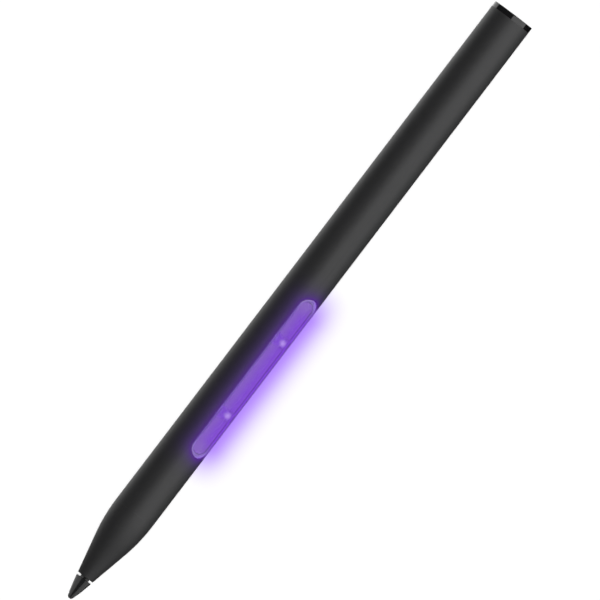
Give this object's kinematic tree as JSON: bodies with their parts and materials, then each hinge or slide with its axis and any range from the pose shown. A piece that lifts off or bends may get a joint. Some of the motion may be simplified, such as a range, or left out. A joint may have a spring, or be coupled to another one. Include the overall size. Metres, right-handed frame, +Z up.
{
  "type": "stylus pen",
  "caption": "Active stylus pen with a pressure-sensing pull-out nib, tapered nose, lamp window flush in a matte black barrel, hidden press key and a charging port in its end plate.",
  "frame": {"origin": "on the table under the middle of the lying pen's box", "axes": "+X along the pen from the nib to the end plate, +Z up, the lamp window turned 43 degrees from up towards -Y"},
  "size_m": [0.1528, 0.0094, 0.0095],
  "materials": {
    "nib_grey": "smooth dark grey plastic",
    "brass": "turned",
    "steel": "bright",
    "nose_black": "fine matte black",
    "bush_white": "plain white plastic",
    "copper": "bright copper",
    "carrier_grey": "moulded dark grey plastic",
    "sensor_pale": "fired ceramic",
    "rubber_grey": "matte",
    "flex_amber": "amber film",
    "barrel_black": "fine blasted, matte black anodised",
    "lens_violet": "clear, lit violet from behind",
    "silicone_pale": "pale soft seal",
    "reflector_white": "white reflector plastic",
    "lamp_violet": "lit lamp package",
    "board_white": "white solder mask on metal core",
    "board_green": "green solder mask",
    "chip_black": "moulded black",
    "ferrite_grey": "fired ferrite",
    "key_black": "satin black plastic",
    "cell_blue": "metal can in a blue sleeve",
    "foam_black": "soft foam",
    "cap_gloss": "high gloss black"
  },
  "bodies": {
    "pen_body": {"barrel": "barrel_black", "nose_cone": "nose_black", "guide_bush": "bush_white", "tilt_ring": "copper", "return_spring": "steel", "sensor_cup": "carrier_grey", "force_sensor": "sensor_pale", "sensor_pad": "rubber_grey", "sensor_flex": "flex_amber", "lamp_lens": "lens_violet", "lens_gasket": "silicone_pale", "lamp_tray": "reflector_white", "lamp_led_front": "lamp_violet", "lamp_led_rear": "lamp_violet", "lamp_board": "board_white", "front_carrier": "carrier_grey", "main_board": "board_green", "controller_chip": "chip_black", "power_chip": "chip_black", "boost_coil": "ferrite_grey", "board_screw_front": "steel", "board_screw_rear": "steel", "tact_switch": "steel", "battery_cell": "cell_blue", "battery_pad_front": "foam_black", "battery_pad_rear": "foam_black", "power_flex": "flex_amber", "tail_carrier": "carrier_grey", "charge_board": "board_green", "charge_chip": "chip_black", "port_shell": "steel", "port_tongue": "chip_black", "end_cap": "cap_gloss"},
    "nib_plunger": {"nib_holder": "brass"},
    "nib": {"nib": "nib_grey"},
    "side_key": {"side_key": "key_black"}
  },
  "joints": [
    {"name": "nib_press", "type": "slide", "parent": "pen_body", "child": "nib_plunger", "axis": [1, 0, 0], "range_m": [0, 0.0004], "stiffness_N_per_m": 1500, "deforming": ["return_spring"]},
    {"name": "nib_pull", "type": "slide", "parent": "nib_plunger", "child": "nib", "axis": [-1, 0, 0], "range_m": [0, 0.0075]},
    {"name": "key_press", "type": "slide", "parent": "pen_body", "child": "side_key", "axis": [0, -0.682, 0.7314], "range_m": [0, 0.00025], "stiffness_N_per_m": 2000}
  ]
}
